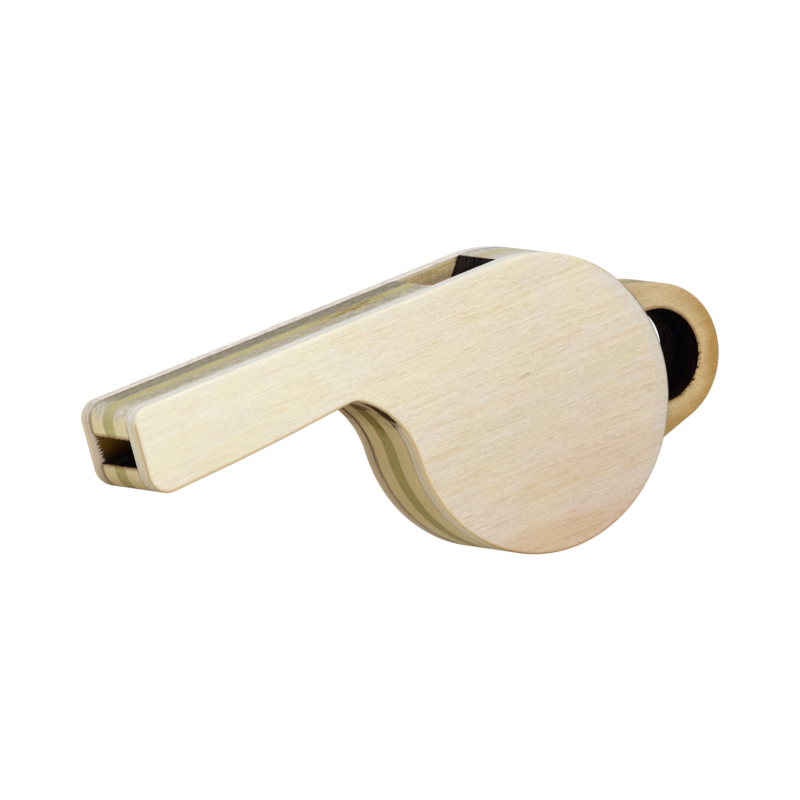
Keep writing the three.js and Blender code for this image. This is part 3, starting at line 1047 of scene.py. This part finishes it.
def wood(name, pale, deep, stains_and_painted_light, weights=EVEN_GRAIN, crosswise=False):
    """Grain between two colours, stained and given painted light and shade, with raised fibres."""
    coat = Coat(name)
    tone, fibres = grain(coat, weights, crosswise)
    colour = coat.mix(tone, linear(*pale), linear(*deep))
    for coat_step in stains_and_painted_light:
        colour = coat_step(coat, colour)
    return coat.surface(colour, coat.fade(fibres, 0.3, 0.7, 0.5, 0.66), fibres, 0.012)


# %% The woods
VENEER_SIDE = sides("left_face_veneer")[0]
GREEN_LOW, GREEN_HIGH = sides("core_middle_ply")
JOINTS = (  # place across, width and darkness
    (CORE_SIDE, 0.32, 0.95),
    (-CORE_SIDE, 0.11, 0.6),
    (VENEER_SIDE, 0.06, 0.3),
    (-VENEER_SIDE, 0.06, 0.3),
    (GREEN_LOW, 0.05, 0.2),
    (GREEN_HIGH, 0.06, 0.35),
)
neck_and_glue = neck_shade_and_scorches, partial(glued, JOINTS)
face_top_dust_and_sheen = partial(top_dust_and_sheen, (220, 214, 204), (227, 221, 208), (226, 220, 214), 0.05)
inner_top_dust_and_sheen = partial(top_dust_and_sheen, (228, 219, 208), (223, 220, 217), (224, 219, 217), 0.1)
core_top_dust_and_sheen = partial(top_dust_and_sheen, (146, 138, 121), (179, 171, 150), (198, 192, 180), 0.18)
face_stains_and_painted_light = face_top_dust_and_sheen, partial(browned, 0.8, 0.15), *neck_and_glue
inner_stains_and_painted_light = tanned_left, inner_top_dust_and_sheen, partial(browned, 0.8, 0.5), *neck_and_glue
green_stains_and_painted_light = burnt_green, partial(browned, 0.8, 0.8), *neck_and_glue, sooty
core_stains_and_painted_light = core_top_dust_and_sheen, partial(browned, 1.0, 0.9), *neck_and_glue, sooty

FACE_EDGE = (220, 206, 176), (200, 182, 148)  # each a pale and a deep colour
FACE_VENEER = (247, 242, 222), (226, 217, 187)
INNER_EDGE = (216, 209, 190), (198, 188, 162)
INNER_VENEER = (238, 216, 168), (200, 170, 114)
GREEN_PLY = (184, 177, 122), (160, 150, 96)
CORE_EDGE = (224, 210, 168), (202, 187, 143)
LOOP_FACE = (222, 202, 166), (194, 168, 124)

# For a word in a layer's name: the woods of its edge, its face and its rim.
WOODS = {
    "face": (
        wood("face_edge", *FACE_EDGE, face_stains_and_painted_light),
        wood("face_veneer", *FACE_VENEER, [veneer_lines, belly_tinge_and_painted_light]),
        wood("face_rim", *FACE_VENEER, [belly_tinge_and_painted_light, golden_rim]),
    ),
    "inner": (
        wood("inner_edge", *INNER_EDGE, inner_stains_and_painted_light),
        wood("inner_veneer", *INNER_VENEER, [inner_sides_shade_light_and_soot], STRONG_GRAIN),
    ),
    "middle": (
        wood("green_edge", *GREEN_PLY, [partial(loop_edge_sheen, 0.35), *green_stains_and_painted_light], crosswise=True),
        wood("green_ply", *GREEN_PLY, [sooty], crosswise=True),
    ),
    "ply": (
        wood("core_edge", *CORE_EDGE, [partial(loop_edge_sheen, 0.8), *core_stains_and_painted_light]),
        wood("core_ply", *LOOP_FACE, [browned_loop, sooty]),
        wood("core_rim", *LOOP_FACE, [browned_loop]),
    ),
}
for node, piece in pieces.items():
    edge_wood, face_wood, *rim = next(woods for word, woods in WOODS.items() if word in node)
    for material in (edge_wood, laser_char, face_wood, *(rim or [edge_wood])):
        piece.data.materials.append(material)
print("woods for layers named:", list(WOODS))

# %% [markdown]
# ## Cork
# Cork is brown cells of many sizes with dark pits between them.

# %% The recipe for cork
CORK_PALE, CORK_DEEP, PIT = linear(188, 142, 94), linear(140, 94, 56), linear(84, 52, 30)


def cork():
    """Voronoi cells for the grains, and noise for their colour and pits."""
    coat = Coat("cork")
    cells = coat.node("TexVoronoi", {"Vector": coat.place, "Scale": 1.8})
    shade = coat.noise((0.6, 0.6, 0.6), 3, 0.6)
    pits = coat.fade(cells.outputs["Distance"], 0.55, 0.8)
    colour = coat.mix(pits, coat.mix(shade, CORK_PALE, CORK_DEEP), PIT)
    roughness = coat.fade(shade, 0.2, 0.8, 0.8, 0.95)
    return coat.surface(colour, roughness, coat.math("SUBTRACT", shade, pits), 0.05, 0.5)


pea.data.materials.append(cork())

# %% [markdown]
# ## The table
# The photograph shows the whistle on plain white, from a little below the table's height. So
# the table is a pale plane that is clear from underneath: it carries the soft shadow in every
# view from above and hides nothing in this one.

# %% Make the table
TABLE_SIZE = 3.0
TABLE_GREY, TABLE_GLOW = (0.6, 0.6, 0.6, 1), 0.35
corners = np.array([[-1, -1, 0], [1, -1, 0], [1, 1, 0], [-1, 1, 0]]) * TABLE_SIZE / 2
table = new_piece("table", corners, np.array([[0, 1, 2, 3]]))

paint = Nodes(bpy.data.materials.new("table_paint"))
look = {"Base Color": TABLE_GREY, "Roughness": 0.9}
glow = {"Emission Color": WHITE, "Emission Strength": TABLE_GLOW}
solid = paint.fill(paint.tree.nodes["Principled BSDF"], {**look, **glow}).outputs[0]
clear = paint.node("BsdfTransparent").outputs[0]
below = paint.node("NewGeometry").outputs["Backfacing"]
seen = paint.node("MixShader", {0: below, 1: solid, 2: clear}).outputs[0]
paint.fill(paint.tree.nodes["Material Output"], {"Surface": seen})
table.data.materials.append(paint.owner)

# %% [markdown]
# ## Light
# Plain soft studio light: a bright even surround, a large soft lamp high in front on the left,
# a smaller one straight above and a low one from the mouth end. Camera, glossy and transmission
# rays see the surround as white.

# %% The surround and the lamps
SURROUND = 0.5
sky = Nodes(bpy.data.worlds.new("studio"))
stage.world = sky.owner
rays = sky.node("LightPath").outputs
white = sky.math("MAXIMUM", rays["Is Camera Ray"], rays["Is Glossy Ray"])
white = sky.math("MAXIMUM", white, rays["Is Transmission Ray"])
level = sky.node("MapRange", {"Value": white, "To Min": SURROUND})
sky.fill(sky.tree.nodes["Background"], {"Color": WHITE, "Strength": level.outputs[0]})

LAMP_DISTANCE = 0.5


def softbox(name, towards, size, share):
    """A square lamp that adds this share of full white to a face turned squarely at it.

    A lamp of power P lights a face at distance d by P / (pi d^2), and a white face sends back
    a pi-th of that.
    """
    lamp = bpy.data.lights.new(name, "AREA")
    lamp.size = size
    lamp.energy = share * pi * pi * LAMP_DISTANCE**2
    holder = new_object(name, lamp)
    direction = Vector(towards).normalized()
    holder.location = Vector((0, 0, axis_point[2] * MM)) + direction * LAMP_DISTANCE
    holder.rotation_euler = direction.to_track_quat("Z", "Y").to_euler()


softbox("key", (-0.45, -1.0, 0.75), 0.45, 0.38)
softbox("overhead", (0.1, 0.15, 1.0), 0.4, 0.3)
softbox("fill", (-1.0, -0.3, 0.12), 0.45, 0.3)
stage.view_settings.view_transform = "Standard"

# %% [markdown]
# ## Camera
# The photograph was taken through a long lens, from the whistle's right and front. The line of
# sight and the roll were fitted to the outline, and the picture's scale to the belly's circle.

# %% The camera
PICTURE = 800
PX_PER_MM = 10.858
DISTANCE_MM = 1500.0
SENSOR_MM = 36.0
FAR_END = 10.0
SIGHT = np.array([0.4766, 0.8480, -0.2319])  # line of sight, on the drawing's x, y and z
UPRIGHT = np.array([0.3339, 0.0694, 0.9400])  # the picture's upright, likewise
AXIS_PX = np.array([513.5, 399.9])  # where the picture shows the chamber's axis


def direction_of(drawn):
    """A direction of the drawing, turned to the frame and made of length one."""
    across, up = turned(drawn[0], drawn[2])
    return Vector((across, drawn[1], up)).normalized()


sight = direction_of(SIGHT)
rightward = sight.cross(direction_of(UPRIGHT)).normalized()
upward = rightward.cross(sight)
off_centre = (AXIS_PX - PICTURE / 2) / PX_PER_MM * MM
target = Vector((axis_point * MM).tolist()) - rightward * off_centre[0] + upward * off_centre[1]
camera_data = bpy.data.cameras.new("camera")
camera_data.sensor_width = SENSOR_MM
camera_data.lens = PX_PER_MM * SENSOR_MM * DISTANCE_MM / PICTURE
camera_data.clip_end = FAR_END
camera = new_object("camera", camera_data)
facing = Matrix((rightward, upward, -sight)).transposed().to_4x4()
camera.matrix_world = Matrix.Translation(target - sight * DISTANCE_MM * MM) @ facing
stage.camera = camera
print("lens", round(camera_data.lens, 1), "mm")
print("camera height", round(camera.location.z / MM, 1), "mm")
